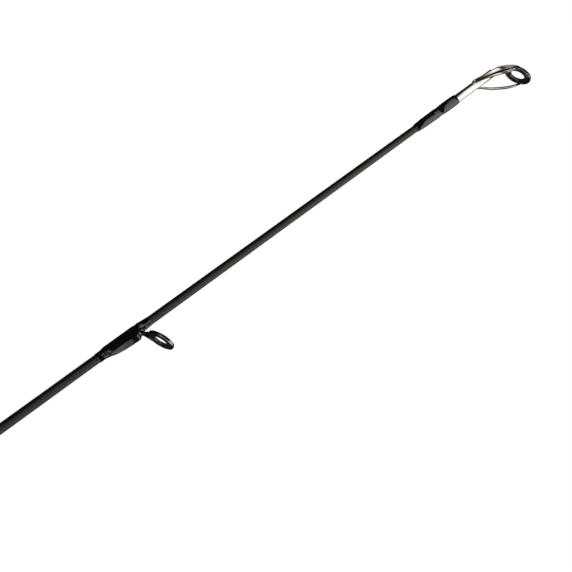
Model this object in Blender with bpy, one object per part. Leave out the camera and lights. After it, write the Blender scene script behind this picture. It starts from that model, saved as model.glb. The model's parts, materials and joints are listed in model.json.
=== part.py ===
"""A two-section spinning rod: blank, six line guides, tip-top, split-grip handle and screw-down reel seat.

Sizes in this script are millimetres, and add_mesh() writes them to Blender in metres.
The rod's axis is Z, from the butt cap's flat end at z = 0 to the tip-top.
Guides and reel foot are on the +X side.
Round pieces share one number of sides and one phase, so nested pieces keep an even gap.
"""

import math

import bmesh
import bpy
from mathutils import Vector

METRES = 0.001
SIDES = 20
STEP = 2 * math.pi / SIDES
GAP = 0.05

# Blank
TIP_RADIUS = 0.845
TIP_SLOPE = 0.0028
BUTT_RADIUS = 5.5
BUTT_SLOPE = 0.0024
BUTT_START = 4.4
SOCKET_START = 925.0
SOCKET_END = 985.0
SOCKET_RADIUS = 4.15
BLANK_END = 1821.0
BLANK_WALL = 1.1

# Tip-top, measured back from the front of its tube
TUBE_END = 1822.0
TUBE_LENGTH = 16.9
TUBE_RADIUS = 1.03
TIP_RING_AHEAD = 4.0
TIP_RING_HEIGHT = 5.5
TIP_RING_TILT = 33.0
TIP_RING_Z = TUBE_END + TIP_RING_AHEAD
TIP_HOLE_RADIUS = 1.75
TIP_INSERT_RADIUS = 2.95
TIP_FRAME_RADIUS = 3.45
TIP_WRAP_START = TUBE_END - 24.4
TIP_WRAP_END = TUBE_END - 11.3

# Handle stations along the rod
CAP_TOP = 13.0
REAR_GRIP_TOP = 104.0
TRIM_LENGTH = 3.0
SPLIT_WRAP_LENGTH = 14.0
SEAT_GRIP_START = 264.0
SEAT_START = 296.0
SEAT_END = 424.0
FORE_GRIP_TOP = 492.0
KEEPER_WRAP_END = 535.0
KEEPER_LOW = 517.0
KEEPER_HIGH = 526.0
KEEPER_HALF = 0.45
KEEPER_SLOT_HALF = 0.52

# Reel seat
BARREL_RADIUS = 8.6
THREAD_RADIUS = 8.9
THREAD_START = 361.5
THREAD_END = 419.0
FOOT_FLAT_X = 7.6
SEAT_BORE = 6.6
HOOD_OFFSET = 3.2
HOOD_RADIUS = 11.6
FIXED_HOOD_RADIUS = 11.2
POCKET_TOP_X = 11.4
POCKET_HALF_WIDTH = 6.6
FIXED_HOOD_END = 322.0
FIXED_POCKET_FLOOR = 307.0
SLIDING_HOOD_START = 346.0
SLIDING_HOOD_END = 368.0
SLIDING_POCKET_ROOF = 362.0
COLLAR_RADIUS = 10.2
COLLAR_END = 372.8
NUT_START = 368.3
NUT_END = 393.0
NUT_RADIUS = 11.6
HOOD_BORE = 9.1
NUT_BORE = 9.2
SKIRT_BORE = 10.45

# Guides from the tip down: distance back from the tip ring; hole, insert and frame radii; height; tilt;
# and whether it stands on two feet
GUIDES = [
    ("guide_1", 111.2, 1.7, 3.20, 3.65, 7.3, 28.0, False),
    ("guide_2", 234.8, 1.8, 3.20, 3.65, 7.6, 28.0, False),
    ("guide_3", 374.8, 2.3, 3.65, 4.15, 8.7, 28.0, False),
    ("guide_4", 539.8, 3.2, 4.60, 5.15, 10.8, 26.0, False),
    ("guide_5", 739.8, 4.9, 6.60, 7.30, 15.0, 22.0, True),
    ("guide_6", 984.8, 8.3, 10.6, 11.5, 24.0, 18.0, True),
]


# ---------------------------------------------------------------- materials

FINISHES = {
    "graphite": ((0.022, 0.021, 0.020), 0.45, 0.0),
    "thread_epoxy": ((0.006, 0.006, 0.007), 0.10, 0.0),
    "stainless": ((0.62, 0.60, 0.57), 0.14, 1.0),
    "ceramic": ((0.010, 0.010, 0.011), 0.12, 0.0),
    "eva_foam": ((0.020, 0.020, 0.021), 0.90, 0.0),
    "rubber": ((0.016, 0.016, 0.016), 0.75, 0.0),
    "seat_plastic": ((0.018, 0.018, 0.019), 0.35, 0.0),
    "trim_metal": ((0.30, 0.31, 0.33), 0.22, 1.0),
    "arbor": ((0.45, 0.42, 0.36), 0.85, 0.0),
}


def finish(obj, kind):
    """Gives obj its own Principled material in one of the rod's finishes."""
    colour, roughness, metallic = FINISHES[kind]
    material = bpy.data.materials.new(obj.name + "_" + kind)
    material.use_nodes = True
    shader = material.node_tree.nodes["Principled BSDF"]
    shader.inputs["Base Color"].default_value = (*colour, 1.0)
    shader.inputs["Roughness"].default_value = roughness
    shader.inputs["Metallic"].default_value = metallic
    obj.data.materials.append(material)
    return obj


# ---------------------------------------------------------------- mesh helpers


def add_mesh(name, points, faces, base=0.0):
    """Makes an object from points in millimetres. Its origin is on the rod's axis at z = base."""
    mesh = bpy.data.meshes.new(name)
    shifted = [(Vector(p) - Vector((0, 0, base))) * METRES for p in points]
    mesh.from_pydata(shifted, [], faces)
    work = bmesh.new()
    work.from_mesh(mesh)
    bmesh.ops.recalc_face_normals(work, faces=work.faces)
    work.to_mesh(mesh)
    work.free()
    obj = bpy.data.objects.new(name, mesh)
    obj.location = (0, 0, base * METRES)
    bpy.context.scene.collection.objects.link(obj)
    return obj


def loft(rings, closed_along=False):
    """Joins rings of equally many points. The ends are capped, or the last ring meets the first."""
    count = len(rings[0])
    points = [p for ring in rings for p in ring]
    faces = []
    spans = len(rings) if closed_along else len(rings) - 1
    for i in range(spans):
        a, b = i * count, ((i + 1) % len(rings)) * count
        for k in range(count):
            n = (k + 1) % count
            faces.append((a + k, a + n, b + n, b + k))
    if not closed_along:
        faces.append(tuple(range(count)))
        faces.append(tuple(range(len(points) - 1, len(points) - count - 1, -1)))
    return points, faces


def round_ring(radius, z, centre_x=0.0):
    return [
        (centre_x + radius * math.cos(k * STEP), radius * math.sin(k * STEP), z)
        for k in range(SIDES)
    ]


def turned(name, kind, outline, base=0.0, centre_x=0.0):
    """A solid turned about the rod's axis from an outline of (radius, z). The outline closes on itself."""
    rings = [round_ring(radius, z, centre_x) for radius, z in outline]
    return finish(add_mesh(name, *loft(rings, closed_along=True), base=base), kind)


def plug(name, outline, centre_x=0.0):
    """A capped round solid of (radius, z) rings, used to build up or cut another piece."""
    rings = [round_ring(radius, z, centre_x) for radius, z in outline]
    return tool(add_mesh(name, *loft(rings)))


def block(name, low, high):
    corners = [(low[0], low[1]), (high[0], low[1]), (high[0], high[1]), (low[0], high[1])]
    rings = [[(x, y, z) for x, y in corners] for z in (low[2], high[2])]
    return tool(add_mesh(name, *loft(rings)))


def tool(obj):
    """Keeps a construction solid out of the model."""
    obj.hide_render = True
    obj.display_type = "WIRE"
    return obj


def combine(obj, other, operation):
    modifier = obj.modifiers.new(operation.lower() + "_" + other.name, "BOOLEAN")
    modifier.operation = operation
    modifier.solver = "EXACT"
    modifier.object = other
    return obj


def bar(stations):
    """A bar through stations of (centre, width direction, half width, half thickness), with square ends."""
    centres = [Vector(s[0]) for s in stations]
    rings = []
    for i, (_, width_axis, half_width, half_thick) in enumerate(stations):
        along = (centres[min(i + 1, len(centres) - 1)] - centres[max(i - 1, 0)]).normalized()
        across = Vector(width_axis)
        across = (across - along * across.dot(along)).normalized()
        normal = along.cross(across)
        rings.append(
            [
                tuple(centres[i] + across * half_width * u + normal * half_thick * v)
                for u, v in ((-1, -1), (1, -1), (1, 1), (-1, 1))
            ]
        )
    return loft(rings)


# ---------------------------------------------------------------- blank


def butt_radius(z):
    return BUTT_RADIUS - BUTT_SLOPE * z


def tip_radius(z):
    return TIP_RADIUS + TIP_SLOPE * (BLANK_END - z)


def blank_radius(z):
    return butt_radius(z) if z < SOCKET_START else tip_radius(z)


def butt_blank():
    stations = [BUTT_START, 300.0, 600.0, SOCKET_START, SOCKET_END - 1.0]
    outside = [(butt_radius(z), z) for z in stations]
    end = (butt_radius(SOCKET_END) - 0.3, SOCKET_END)
    inside = [(butt_radius(z) - BLANK_WALL, z) for z in reversed([BUTT_START, SOCKET_END])]
    return turned("butt_blank", "graphite", outside + [end] + inside)


def tip_blank():
    """The tip section is hollow. Its thicker lower end slips over the butt section's spigot."""
    outside = [(SOCKET_RADIUS - 0.15, SOCKET_START), (SOCKET_RADIUS, SOCKET_START + 1.0)]
    outside += [(SOCKET_RADIUS - 0.05, SOCKET_END + 5.0)]
    outside += [(tip_radius(z), z) for z in (1020.0, 1200.0, 1400.0, 1600.0, BLANK_END)]
    inside = [(0.40, BLANK_END), (0.50, 1600.0), (2.4, SOCKET_END + 6.0)]
    inside += [(butt_radius(SOCKET_END) + GAP, SOCKET_END + 2.0)]
    inside += [(butt_radius(SOCKET_START) + GAP, SOCKET_START)]
    return turned("tip_blank", "graphite", outside + inside, base=SOCKET_START)


# ---------------------------------------------------------------- thread wraps


def hull_radius(angle, core, top, half_width):
    """Distance from the axis to a thread drawn tight round a circle of radius core and a flat foot's top."""
    corner = math.hypot(top, half_width)
    corner_angle = math.atan2(half_width, top)
    touch_angle = corner_angle + math.acos(min(1.0, core / corner))
    away = abs(angle)
    if away < corner_angle:
        return max(core, top / math.cos(away))
    if away < touch_angle:
        return core / math.cos(away - touch_angle)
    return core


def wrap_angles(top, half_width):
    """The shared phase's angles, with one more at each corner of the foot."""
    corner = math.atan2(half_width, top)
    near = min(abs(corner - k * STEP) for k in range(3))
    if near < 0.03:
        corner += 0.05
    angles = [k * STEP for k in range(-SIDES // 2 + 1, SIDES // 2 + 1)]
    return sorted(angles + [corner, -corner])


def wrap(name, kind, stations, base):
    """A thread wrap from stations of (z, blank radius, foot top or 0, foot half width, thickness)."""
    outer, inner = [], []
    for z, core, top, half_width, thickness in stations:
        foot_top = max(top, core * 0.9)
        angles = wrap_angles(foot_top, half_width)
        for rings, grow in ((inner, GAP), (outer, thickness)):
            ring = []
            for angle in angles:
                reach = hull_radius(angle, core + grow, foot_top + grow, half_width + grow * 0.6)
                ring.append((reach * math.cos(angle), reach * math.sin(angle), z))
            rings.append(ring)
    return finish(add_mesh(name, *loft(outer + inner[::-1], closed_along=True), base=base), kind)


def plain_wrap(name, start, end, thickness, base=0.0):
    """A wrap with sloping ends round the bare blank."""
    ramp = min(2.0, (end - start) * 0.2)
    outline = [
        (blank_radius(start) + 0.12, start),
        (blank_radius(start) + thickness, start + ramp),
        (blank_radius(end) + thickness, end - ramp),
        (blank_radius(end) + 0.12, end),
        (blank_radius(end) + GAP, end),
        (blank_radius(start) + GAP, start),
    ]
    return turned(name, "thread_epoxy", outline, base=base)


def ferrule_wrap():
    """The wrap that keeps the socket's mouth from splitting."""
    start, end = SOCKET_START + 2.0, SOCKET_START + 24.0
    outline = [
        (SOCKET_RADIUS + 0.12, start),
        (SOCKET_RADIUS + 0.45, start + 2.0),
        (SOCKET_RADIUS + 0.45, end - 2.0),
        (SOCKET_RADIUS + 0.12, end),
        (SOCKET_RADIUS + GAP, end),
        (SOCKET_RADIUS + GAP, start),
    ]
    return turned("ferrule_wrap", "thread_epoxy", outline, base=SOCKET_START)


# ---------------------------------------------------------------- guides


class Ring:
    """Where a tilted guide ring is: its centre, the direction across it in the rod's plane, and its axis."""

    def __init__(self, height, z, tilt):
        slope = math.radians(tilt)
        self.centre = Vector((height, 0, z))
        self.across = Vector((math.cos(slope), 0, math.sin(slope)))
        self.side = Vector((0, 1, 0))
        self.axis = Vector((math.sin(slope), 0, -math.cos(slope)))

    def point(self, radius, angle, offset):
        radial = self.across * math.cos(angle) + self.side * math.sin(angle)
        return tuple(self.centre + radial * radius + self.axis * offset)


def ring_solid(name, ring, outline, base):
    """Turns an outline of (radius, offset along the ring's axis) about the ring's axis."""
    rings = [[ring.point(radius, k * STEP, offset) for k in range(SIDES)] for radius, offset in outline]
    return add_mesh(name, *loft(rings, closed_along=True), base=base)


def insert(name, ring, hole, outside, base):
    """The polished ceramic ring that carries the line, with a rounded bore."""
    depth = 0.22 * (outside - hole) + 0.45
    middle = 0.5 * (hole + outside)
    outline = [
        (hole, 0.0),
        (hole + 0.15 * (middle - hole) + 0.05, 0.62 * depth),
        (middle, depth),
        (outside, 0.7 * depth),
        (outside, -0.7 * depth),
        (middle, -depth),
        (hole + 0.15 * (middle - hole) + 0.05, -0.62 * depth),
    ]
    return finish(ring_solid(name, ring, outline, base), "ceramic")


def holder(name, ring, inside, outside, base):
    """The frame's own ring, which holds the insert."""
    half = 0.16 * outside + 0.05
    edge = 0.3 * (outside - inside)
    outline = [
        (inside, -half),
        (inside, half),
        (outside - edge, half),
        (outside, half - edge),
        (outside, edge - half),
        (outside - edge, -half),
    ]
    return finish(ring_solid(name, ring, outline, base), "stainless")


def clear_seat(frame, ring, insert_radius):
    """Cuts away whatever a leg or an arm leaves standing inside the insert's seat."""
    depth = insert_radius + 1.0
    radius = insert_radius + 0.6 * GAP
    rings = [[ring.point(radius, k * STEP, offset) for k in range(SIDES)] for offset in (-depth, depth)]
    combine(frame, tool(add_mesh(frame.name + "_seat", *loft(rings))), "DIFFERENCE")


def foot_stations(core, heel_z, toe_z, half_width, thick):
    """A foot lying on the blank from its thin toe to its heel, as bar stations from toe to heel."""
    across = (0, 1, 0)
    under = core + GAP
    toe = (under + 0.1, 0, toe_z)
    middle = (under + thick * 0.42, 0, toe_z + (heel_z - toe_z) * 0.6)
    heel = (under + thick * 0.5, 0, heel_z)
    return [
        (toe, across, half_width * 0.6, 0.1),
        (middle, across, half_width, thick * 0.42),
        (heel, across, half_width, thick * 0.5),
    ]


def foot_wrap_stations(core_at, heel_z, toe_z, half_width, thick, cover):
    """Wrap stations that follow one foot, from past its toe to its heel."""
    way = 1 if heel_z > toe_z else -1
    start = toe_z - 3.0 * way
    ramp = toe_z - 0.6 * way
    middle = toe_z + (heel_z - toe_z) * 0.6
    stop = heel_z - 0.35 * way
    top = core_at(toe_z if way > 0 else heel_z) + GAP + thick
    thin_top = top - thick + 0.2
    low_top = top - thick * 0.16
    return [
        (start, core_at(start), 0, half_width, 0.12),
        (start + way * 1.2, core_at(start), 0, half_width, cover * 0.8),
        (ramp, core_at(ramp), thin_top, half_width, cover),
        (middle, core_at(middle), low_top, half_width, cover),
        (stop - way * 1.0, core_at(stop), top + 0.02, half_width, cover),
        (stop, core_at(stop), top + 0.02, half_width, cover * 0.55),
    ]


def single_foot_guide(name, z, hole, insert_radius, frame_radius, height, tilt, base):
    """A fly-style guide: one foot on the butt side, and a leg that rises to the ring."""
    ring = Ring(height, z, tilt)
    core = blank_radius(z - 16.0)
    thick = 0.45 + 0.035 * frame_radius
    half_width = 0.62 + 0.07 * frame_radius
    heel_z = z - 2.9 - 0.35 * (height - 6.7)
    toe_z = heel_z - 8.6 - 0.5 * (frame_radius - 3.65)
    frame = holder(name + "_frame", ring, insert_radius + GAP, frame_radius, base)
    rim = Vector(ring.point(frame_radius - 0.12, math.pi, 0))
    under = core + GAP
    knee = Vector((under + thick * 1.2, 0, heel_z + 0.75 * thick))
    across = (0, 1, 0)
    stations = foot_stations(core, heel_z, toe_z, half_width, thick)
    stations += [
        (tuple(knee), across, half_width * 1.05, thick * 0.5),
        (tuple(knee.lerp(rim, 0.5)), across, half_width * 1.15, thick * 0.5),
        (tuple(rim), across, half_width * 1.35, thick * 0.5),
    ]
    leg = tool(add_mesh(name + "_leg", *bar(stations)))
    combine(frame, leg, "UNION")
    clear_seat(frame, ring, insert_radius)
    ceramic = insert(name + "_ring", ring, hole, insert_radius, base)
    stations = foot_wrap_stations(blank_radius, heel_z, toe_z, half_width, thick, 0.32)
    thread = wrap(name + "_wrap", "thread_epoxy", stations, base)
    return [frame, ceramic, thread]


def double_foot_guide(name, z, hole, insert_radius, frame_radius, height, tilt, base):
    """A guide with a foot on each side: one leg towards the tip, and two braces towards the butt."""
    ring = Ring(height, z, tilt)
    thick = 0.85 + 0.02 * frame_radius
    half_width = 1.15 + 0.05 * frame_radius
    reach = 0.62 * height
    front_heel, back_heel = z + 0.30 * height, z - reach
    front_toe, back_toe = front_heel + 12.0, back_heel - 12.0
    frame = holder(name + "_frame", ring, insert_radius + GAP, frame_radius, base)
    across = (0, 1, 0)
    core = blank_radius(front_heel)
    rim = Vector(ring.point(frame_radius - 0.25, math.pi, 0))
    front = foot_stations(core, front_heel, front_toe, half_width, thick)
    start = Vector((core + GAP + thick * 1.3, 0, front_heel - thick * 0.9))
    front += [
        (tuple(start), across, half_width, thick * 0.5),
        (tuple(start.lerp(rim, 0.6)), across, half_width, thick * 0.5),
        (tuple(rim), across, half_width * 1.2, thick * 0.5),
    ]
    combine(frame, tool(add_mesh(name + "_front_leg", *bar(front))), "UNION")
    core = blank_radius(back_toe)
    back = foot_stations(core, back_heel, back_toe, half_width, thick)
    back.append(((core + GAP + thick * 1.3, 0, back_heel + thick * 0.9), across, half_width, thick * 0.5))
    back_foot = tool(add_mesh(name + "_back_foot", *bar(back)))
    combine(frame, back_foot, "UNION")
    for side in (-1, 1):
        low = Vector((core + GAP + thick * 0.8, side * half_width * 0.5, back_heel + 0.3))
        high = Vector(ring.point(frame_radius - 0.25, side * math.radians(112), 0))
        brace = [
            (tuple(low), across, half_width * 0.42, thick * 0.42),
            (tuple(low.lerp(high, 0.15)), across, half_width * 0.42, thick * 0.42),
            (tuple(high), across, half_width * 0.42, thick * 0.42),
        ]
        side_name = "_brace_left" if side > 0 else "_brace_right"
        combine(frame, tool(add_mesh(name + side_name, *bar(brace))), "UNION")
    clear_seat(frame, ring, insert_radius)
    ceramic = insert(name + "_ring", ring, hole, insert_radius, base)
    pieces = [frame, ceramic]
    for label, heel, toe in (("_front_wrap", front_heel, front_toe), ("_back_wrap", back_heel, back_toe)):
        stations = foot_wrap_stations(blank_radius, heel, toe, half_width, thick, 0.45)
        pieces.append(wrap(name + label, "thread_epoxy", stations, base))
    return pieces


# ---------------------------------------------------------------- tip-top


def tip_top():
    base = SOCKET_START
    ring = Ring(TIP_RING_HEIGHT, TIP_RING_Z, TIP_RING_TILT)
    tube_start = TUBE_END - TUBE_LENGTH
    bore = tip_radius(tube_start) + GAP
    tube_outline = [
        (TUBE_RADIUS, tube_start),
        (TUBE_RADIUS, TUBE_END - 0.35),
        (TUBE_RADIUS - 0.08, TUBE_END),
        (bore, TUBE_END),
        (bore, tube_start),
    ]
    tube = turned("tip_top_tube", "stainless", tube_outline, base=base)
    frame = holder("tip_top_frame", ring, TIP_INSERT_RADIUS + GAP, TIP_FRAME_RADIUS, base)
    for side, label in ((-1, "near"), (1, "far")):
        combine(frame, tip_arm("tip_arm_" + label, side), "UNION")
    clear_seat(frame, ring, TIP_INSERT_RADIUS)
    ceramic = insert("tip_top_ring", ring, TIP_HOLE_RADIUS, TIP_INSERT_RADIUS, base)
    start, end = TIP_WRAP_START, TIP_WRAP_END
    blank_at, tube_at = tip_radius(start), TUBE_RADIUS
    hump = 0.27
    sleeve = [
        (blank_at + 0.1, start),
        (blank_at + 0.30, start + 2.4),
        (blank_at + 0.34, tube_start - 2.0),
        (tube_at + 0.16, tube_start - 0.2),
        (tube_at + hump, tube_start + 2.6),
        (tube_at + hump, end - 1.0),
        (tube_at + 0.09, end),
        (tube_at + GAP, end),
        (tube_at + GAP, tube_start - 0.1),
        (blank_at + GAP, tube_start - 0.3),
        (blank_at + GAP, start),
    ]
    thread = turned("tip_top_wrap", "thread_epoxy", sleeve, base=base)
    return [tube, frame, ceramic, thread]


def tip_arm(name, side):
    """One of the two flat arms that run from the sides of the tube to the sides of the ring."""
    z0 = TIP_RING_Z
    twist = (0.743, -0.669 * side, 0)
    path = [
        ((-0.25, 1.45, -9.8), 0.30, 0.20),
        ((0.05, 1.55, -9.2), 0.50, 0.28),
        ((0.45, 1.72, -8.6), 0.55, 0.28),
        ((1.05, 2.05, -7.8), 0.58, 0.28),
        ((1.75, 2.45, -6.8), 0.68, 0.28),
        ((2.85, 3.05, -5.0), 0.90, 0.28),
        ((3.80, 3.38, -3.4), 1.05, 0.28),
        ((4.70, 3.46, -1.9), 1.00, 0.26),
        ((5.25, 3.30, -0.7), 0.85, 0.22),
    ]
    stations = [((x, side * y, z0 + z), twist, wide, thick) for (x, y, z), wide, thick in path]
    return tool(add_mesh(name, *bar(stations)))


# ---------------------------------------------------------------- handle


def grip(name, kind, start, end, outline, base=0.0):
    """A turned grip over the blank from an outline of (share of its length, outer radius)."""
    length = end - start
    outside = [(radius, start + share * length) for share, radius in outline]
    inside = [(butt_radius(end) + GAP, end), (butt_radius(start) + GAP, start)]
    return turned(name, kind, outside + inside, base=base)


def trim_ring(name, start, radius):
    end = start + TRIM_LENGTH
    outline = [(0, radius - 0.4), (0.2, radius), (0.8, radius), (1, radius - 0.4)]
    return grip(name, "trim_metal", start, end, outline)


def butt_cap():
    """A rubber cup over the blank's end, with a flat bottom."""
    wall = butt_radius(BUTT_START) + GAP
    outline = [(12.6, 0.0), (14.2, 1.2), (14.8, 3.2), (14.6, CAP_TOP)]
    outline += [(wall, CAP_TOP), (wall, BUTT_START - GAP)]
    rings = [round_ring(radius, z) for radius, z in outline]
    return finish(add_mesh("butt_cap", *loft(rings)), "rubber")


def handle():
    trim_start = REAR_GRIP_TOP + GAP
    split_start = trim_start + TRIM_LENGTH + GAP
    front_trim = SEAT_GRIP_START - TRIM_LENGTH - GAP
    rear = [(0, 14.5), (0.12, 14.7), (0.4, 13.6), (0.7, 12.2), (0.94, 11.6), (1, 11.0)]
    seat_rear = [(0, 9.9), (0.15, 10.4), (0.6, 10.6), (0.92, 10.9), (1, 10.6)]
    fore = [(0, 11.3), (0.06, 11.9), (0.3, 12.1), (0.6, 11.0), (0.93, 8.9), (1, 8.2)]
    check_start = FORE_GRIP_TOP + GAP
    return [
        butt_cap(),
        grip("rear_grip", "eva_foam", CAP_TOP + GAP, REAR_GRIP_TOP, rear),
        trim_ring("rear_grip_trim", trim_start, 10.6),
        plain_wrap("rear_split_wrap", split_start, split_start + SPLIT_WRAP_LENGTH, 0.5),
        plain_wrap("front_split_wrap", front_trim - GAP - SPLIT_WRAP_LENGTH, front_trim - GAP, 0.5),
        trim_ring("seat_grip_trim", front_trim, 9.6),
        grip("seat_rear_grip", "eva_foam", SEAT_GRIP_START, SEAT_START - GAP, seat_rear),
        grip("fore_grip", "eva_foam", SEAT_END + GAP, FORE_GRIP_TOP, fore),
        trim_ring("winding_check", check_start, 7.4),
        keeper_wrap(check_start + TRIM_LENGTH + GAP),
        hook_keeper(),
    ]


def keeper_wrap(start):
    """The wrap ahead of the fore grip. It also binds the hook keeper's two wire feet."""
    end = KEEPER_WRAP_END
    outer = []
    inner = []
    for z, thickness in ((start, 0.3), (start + 2.0, 0.9), (end - 2.0, 0.9), (end, 0.25)):
        core = butt_radius(start)
        outer.append(round_ring(core + thickness + 0.85, z))
        inner.append(round_ring(core + GAP, z))
    sleeve = finish(add_mesh("keeper_wrap", *loft(outer + inner[::-1], closed_along=True)), "thread_epoxy")
    for label, z in (("low", KEEPER_LOW), ("high", KEEPER_HIGH)):
        low = (-KEEPER_SLOT_HALF, -20.0, z - KEEPER_HALF - GAP)
        high = (KEEPER_SLOT_HALF, 0.0, z + KEEPER_HALF + GAP)
        combine(sleeve, block("keeper_slot_" + label, low, high), "DIFFERENCE")
    return sleeve


def hook_keeper():
    """A wire loop on the -Y side, standing on the blank and running through the wrap."""
    foot = -(butt_radius(KEEPER_LOW - 7.0) + GAP + 0.02)
    corner, top = -8.6, -9.9
    path = [(foot, KEEPER_LOW), (corner, KEEPER_LOW), (top, KEEPER_LOW + 1.6)]
    path += [(top, KEEPER_HIGH - 1.6), (corner, KEEPER_HIGH), (foot, KEEPER_HIGH)]
    stations = [((0, y, z), (1, 0, 0), KEEPER_HALF, KEEPER_HALF) for y, z in path]
    return finish(add_mesh("hook_keeper", *bar(stations)), "stainless")


# ---------------------------------------------------------------- reel seat


def reel_seat():
    """The plastic barrel, with a fixed pocket at the butt end, a flat for the reel foot, and the thread."""
    outline = [
        (9.6, SEAT_START),
        (10.9, SEAT_START + 1.5),
        (11.0, SEAT_START + 5.0),
        (BARREL_RADIUS + 1.0, FIXED_HOOD_END - 2.0),
        (BARREL_RADIUS, FIXED_HOOD_END + 4.0),
        (BARREL_RADIUS, THREAD_START),
        (THREAD_RADIUS, THREAD_START + 0.4),
        (THREAD_RADIUS, THREAD_END),
        (BARREL_RADIUS, THREAD_END + 0.5),
        (BARREL_RADIUS, SEAT_END),
        (SEAT_BORE, SEAT_END),
        (SEAT_BORE, SEAT_START),
    ]
    barrel = turned("reel_seat", "seat_plastic", outline)
    hood = [
        (9.4, SEAT_START + 4.0),
        (FIXED_HOOD_RADIUS, SEAT_START + 7.0),
        (FIXED_HOOD_RADIUS, FIXED_HOOD_END - 1.2),
    ]
    combine(barrel, plug("fixed_hood_body", hood, HOOD_OFFSET), "UNION")
    bore = plug("seat_bore_cut", [(SEAT_BORE, SEAT_START - 5.0), (SEAT_BORE, SEAT_END + 5.0)])
    combine(barrel, bore, "DIFFERENCE")
    pocket_low = (FOOT_FLAT_X, -POCKET_HALF_WIDTH, FIXED_POCKET_FLOOR)
    pocket = block("fixed_pocket", pocket_low, (POCKET_TOP_X, POCKET_HALF_WIDTH, FIXED_HOOD_END + 5.0))
    combine(barrel, pocket, "DIFFERENCE")
    flat = block("foot_flat", (FOOT_FLAT_X, -12.0, FIXED_HOOD_END - 0.6), (20.0, 12.0, SEAT_END - 1.5))
    combine(barrel, flat, "DIFFERENCE")
    return barrel


def fixed_hood():
    """The polished cover pressed over the mouth of the fixed pocket."""
    low, high = FIXED_HOOD_END - 9.0, FIXED_HOOD_END - 1.25
    inner = FIXED_HOOD_RADIUS + GAP
    outline = [(inner, low), (inner + 0.55, low), (inner + 0.55, high - 0.3)]
    outline += [(inner + 0.25, high), (inner, high)]
    cover = turned("fixed_hood", "stainless", outline, centre_x=HOOD_OFFSET)
    clear = plug("fixed_hood_clear", [(11.1, low - 6.0), (11.1, high + 6.0)])
    combine(cover, clear, "DIFFERENCE")
    return cover


def arbors():
    pieces = []
    for name, start, end in (("seat_arbor_rear", 300.0, 330.0), ("seat_arbor_front", 386.0, 420.0)):
        bore = butt_radius(start) + GAP
        outside = SEAT_BORE - GAP
        pieces.append(turned(name, "arbor", [(outside, start), (outside, end), (bore, end), (bore, start)]))
    return pieces


def sliding_hood():
    """The hood that clamps the reel foot. The nut's skirt turns on its collar."""
    base = SLIDING_HOOD_START
    bulge = [
        (10.9, base),
        (HOOD_RADIUS, base + 1.0),
        (HOOD_RADIUS, SLIDING_HOOD_END - 4.0),
        (8.6, SLIDING_HOOD_END),
    ]
    shell = [
        (10.6, base),
        (10.9, base + 0.6),
        (10.9, SLIDING_HOOD_END),
        (COLLAR_RADIUS, SLIDING_HOOD_END),
        (COLLAR_RADIUS, COLLAR_END),
        (HOOD_BORE, COLLAR_END),
        (HOOD_BORE, base),
    ]
    hood = turned("sliding_hood", "seat_plastic", shell, base=base)
    combine(hood, plug("sliding_hood_bulge", bulge, HOOD_OFFSET), "UNION")
    bore = plug("hood_bore_cut", [(HOOD_BORE, base - 5.0), (HOOD_BORE, COLLAR_END + 5.0)])
    combine(hood, bore, "DIFFERENCE")
    low = (4.0, -POCKET_HALF_WIDTH, base - 5.0)
    pocket = block("sliding_pocket", low, (POCKET_TOP_X, POCKET_HALF_WIDTH, SLIDING_POCKET_ROOF))
    combine(hood, pocket, "DIFFERENCE")
    return hood


def hood_band():
    """The polished band round the sliding hood's mouth."""
    low = SLIDING_HOOD_START + 1.2
    inner = HOOD_RADIUS + GAP
    outline = [(inner, low), (inner + 0.5, low + 0.2), (inner + 0.5, low + 5.8), (inner, low + 6.0)]
    band = turned("sliding_hood_band", "stainless", outline, base=SLIDING_HOOD_START, centre_x=HOOD_OFFSET)
    clear = plug("hood_band_clear", [(10.9 + GAP, low - 5.0), (10.9 + GAP, low + 12.0)])
    combine(band, clear, "DIFFERENCE")
    return band


def locking_nut():
    """A ribbed nut on the seat's thread. Turning it drives the hood along the seat."""
    outline = [
        (SKIRT_BORE + 0.5, NUT_START),
        (NUT_RADIUS, NUT_START + 0.8),
        (NUT_RADIUS, NUT_END - 1.5),
        (NUT_RADIUS - 1.0, NUT_END),
        (NUT_BORE, NUT_END),
        (NUT_BORE, COLLAR_END + 0.5),
        (SKIRT_BORE, COLLAR_END + 0.4),
        (SKIRT_BORE, NUT_START),
    ]
    return turned("locking_nut", "seat_plastic", outline, base=NUT_START)


def nut_trim():
    start = NUT_END - 6.0
    inner = NUT_RADIUS + GAP
    outline = [(inner, start), (inner + 0.4, start + 0.3), (inner + 0.4, start + 2.7), (inner, start + 3.0)]
    return turned("locking_nut_trim", "trim_metal", outline, base=NUT_START)


# ---------------------------------------------------------------- assembly


def carrier(name, z, parent=None):
    """An empty on the rod's axis that carries a moving group."""
    empty = bpy.data.objects.new(name, None)
    bpy.context.scene.collection.objects.link(empty)
    empty.location = (0, 0, z * METRES)
    if parent:
        empty.parent = parent
        empty.location = (0, 0, z * METRES - parent.location.z)
    return empty


def attach(pieces, empty, z):
    for piece in pieces:
        piece.parent = empty
        piece.location.z -= z * METRES


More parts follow.
